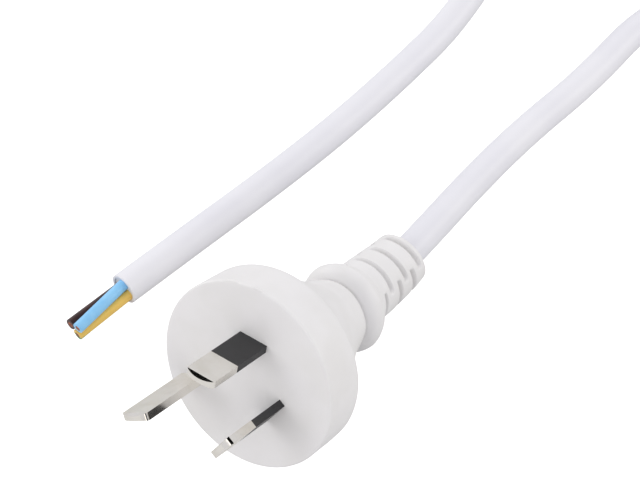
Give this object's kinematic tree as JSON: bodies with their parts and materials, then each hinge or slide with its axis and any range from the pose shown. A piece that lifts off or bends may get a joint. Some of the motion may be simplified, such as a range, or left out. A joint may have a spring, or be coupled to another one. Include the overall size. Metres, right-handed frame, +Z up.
{
  "type": "type i plug",
  "caption": "Moulded mains plug with three flat angled blades, a slotted strain relief and a round three-core cord that ends cut and stripped.",
  "frame": {"origin": "on the table under the centre of the plug's own box, as the plug lies on its disc and strain relief; the cord isn't counted", "axes": "+Y along the plug toward the cord, the blades toward -Y and a little up; +Z up"},
  "size_m": [0.0978, 0.2816, 0.04],
  "materials": {
    "plug_white": "satin moulded PVC",
    "insert_grey": "plain moulding",
    "blade_metal": "bright nickel plate",
    "sleeve_black": "satin",
    "copper": "bare copper",
    "core_brown": "satin",
    "core_blue": "satin",
    "core_green_yellow": "satin, two colours",
    "cord_white": "satin PVC",
    "tie": "matte"
  },
  "bodies": {
    "root": {"plug_body": "plug_white", "pin_bridge": "insert_grey", "active_pin": "blade_metal", "neutral_pin": "blade_metal", "earth_pin": "blade_metal", "active_pin_sleeve": "sleeve_black", "neutral_pin_sleeve": "sleeve_black", "active_core": "core_brown", "neutral_core": "core_blue", "earth_core": "core_green_yellow", "active_copper": "copper", "neutral_copper": "copper", "earth_copper": "copper", "cord_anchor": "cord_white", "cord_plug_run": "cord_white", "cord_coil": "cord_white", "coil_tie": "tie", "cord_cut_run": "cord_white", "cut_end_jacket": "cord_white", "cut_active_core": "core_brown", "cut_neutral_core": "core_blue", "cut_earth_core": "core_green_yellow", "cut_active_copper": "copper", "cut_neutral_copper": "copper", "cut_earth_copper": "copper"}
  },
  "joints": []
}
